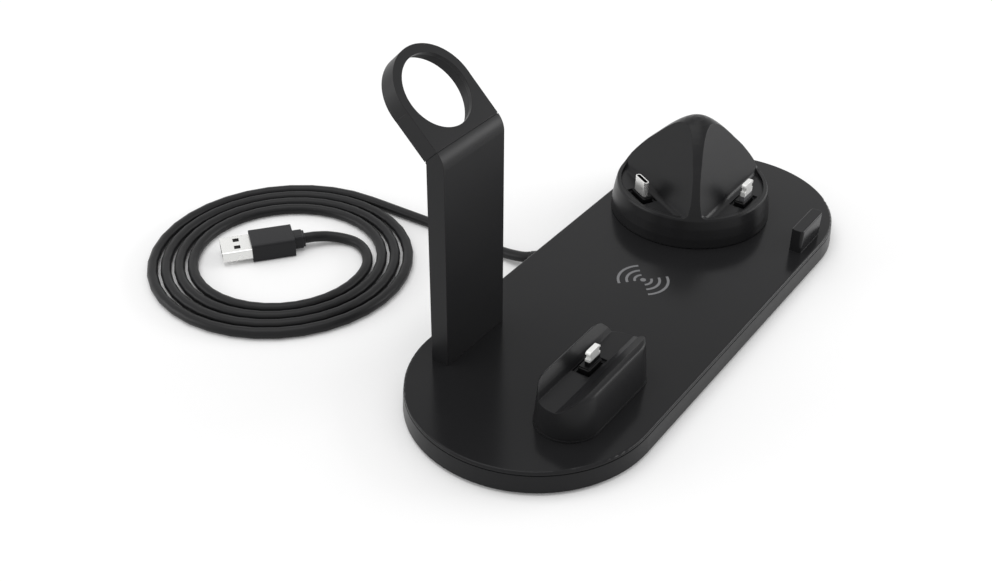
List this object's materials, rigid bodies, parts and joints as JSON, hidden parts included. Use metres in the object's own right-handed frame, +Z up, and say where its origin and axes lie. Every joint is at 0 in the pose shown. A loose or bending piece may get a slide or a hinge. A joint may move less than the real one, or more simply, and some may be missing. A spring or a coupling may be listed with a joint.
{
  "type": "charging stand",
  "caption": "Black charging stand: flat base with a charging pad, watch ring on a bent post, earbud dock, turning dock for phones and a coiled cord with plug.",
  "frame": {"origin": "table level, at the middle of the footprint of base and watch ring seen from above, cord left out", "axes": "+X along the base towards the turning dock, +Y to the back where the cord leaves, +Z up"},
  "size_m": [0.2266, 0.2278, 0.1152],
  "materials": {
    "cover_black": "satin",
    "case_black": "satin",
    "foot_rubber": "matt",
    "screw_steel": "bright zinc",
    "board_green": "lacquered board",
    "coil_copper": "enamelled copper wire",
    "ferrite_grey": "matt",
    "mark_grey": "printed",
    "collar_black": "moulded",
    "plug_metal": "bright nickel",
    "cord_black": "soft satin",
    "housing_black": "moulded",
    "tongue_white": "moulded",
    "contact_gold": "gold plated"
  },
  "bodies": {
    "base": {"top_cover": "cover_black", "bottom_case": "case_black", "rubber_feet": "foot_rubber", "case_screws": "screw_steel", "main_board": "board_green", "charge_coil": "coil_copper", "ferrite_disc": "ferrite_grey", "wave_mark": "mark_grey", "watch_stand": "cover_black", "dock_shell": "cover_black", "dock_base": "case_black", "dock_board": "board_green", "dock_collar": "collar_black", "dock_tip": "plug_metal", "cord_gland": "cord_black", "cord_run": "cord_black", "cord_coil": "cord_black", "cord_tail": "cord_black", "usb_boot": "cord_black", "usb_housing": "housing_black", "usb_shell": "plug_metal", "usb_tongue": "tongue_white", "usb_contacts": "contact_gold"},
    "turning_dock": {"turn_shell": "cover_black", "turn_plate": "case_black", "turn_screws": "screw_steel", "turn_board": "board_green", "turn_clip": "screw_steel", "blade_collar": "collar_black", "blade_tip": "plug_metal", "round_collar": "collar_black", "round_tip": "plug_metal", "micro_collar": "collar_black", "micro_tip": "plug_metal"}
  },
  "joints": [
    {"name": "dock_turn", "type": "hinge", "parent": "base", "child": "turning_dock", "pos_m": [0.0618, 0.0036, 0.0095], "axis": [0, 0, 1], "range_deg": [-180, 180]}
  ]
}
